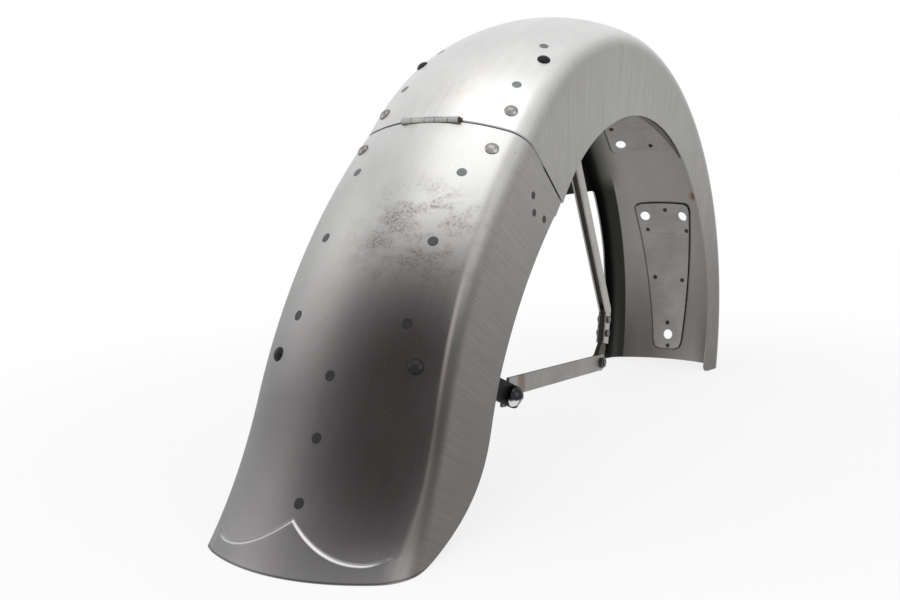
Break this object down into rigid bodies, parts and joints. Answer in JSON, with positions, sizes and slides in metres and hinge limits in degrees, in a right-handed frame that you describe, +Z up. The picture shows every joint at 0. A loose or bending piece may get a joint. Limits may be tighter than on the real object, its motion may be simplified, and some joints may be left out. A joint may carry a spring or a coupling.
{
  "type": "motorcycle rear fender",
  "caption": "Bare steel hinged rear fender: an arched front section with walls, a flared tail on a crown hinge, inner plates and a riveted leg and link brace on each side.",
  "frame": {"origin": "centre of the footprint, at the level of the two cut ends that the fender stands on", "axes": "+X forward, towards the front of the motorcycle; +Y to its left, the chain side; +Z up"},
  "size_m": [0.8661, 0.196, 0.461],
  "materials": {
    "shell_steel": "bare pressed sheet, finely brushed, with grease specks and dark spot weld marks",
    "plate_steel": "bare rolled plate, dull",
    "hinge_steel": "bare turned steel, satin",
    "rivet_steel": "dark bare steel, slightly oily",
    "dark_steel": "dark forged scale",
    "black_paint": "black oxide, satin",
    "bright_plate": "polished plating"
  },
  "bodies": {
    "front": {"front_section": "shell_steel", "hinge_front_leaf": "hinge_steel", "hinge_pin": "dark_steel", "front_seam_strap": "plate_steel", "brace_hoop": "plate_steel", "upper_leg_left": "plate_steel", "upper_leg_right": "plate_steel", "leg_end_left": "dark_steel", "leg_end_right": "dark_steel", "leg_rivets": "rivet_steel", "lower_link_left": "plate_steel", "lower_link_right": "plate_steel", "pivot_bolts": "rivet_steel", "pivot_nuts": "rivet_steel", "mounting_plate": "plate_steel", "saddle_plate": "plate_steel", "arch_doubler": "plate_steel", "front_rivets": "rivet_steel"},
    "tail": {"tail_section": "shell_steel", "hinge_tail_leaf": "hinge_steel", "tail_seam_strap": "plate_steel", "tail_bracket": "black_paint", "link_bolts": "bright_plate", "link_nuts": "rivet_steel", "side_tongues": "plate_steel", "tail_rivets": "rivet_steel"}
  },
  "joints": [
    {"name": "tail_hinge", "type": "hinge", "parent": "front", "child": "tail", "pos_m": [-0.19987, 0, 0.34238], "axis": [0, 1, 0], "range_deg": [0, 110]}
  ]
}
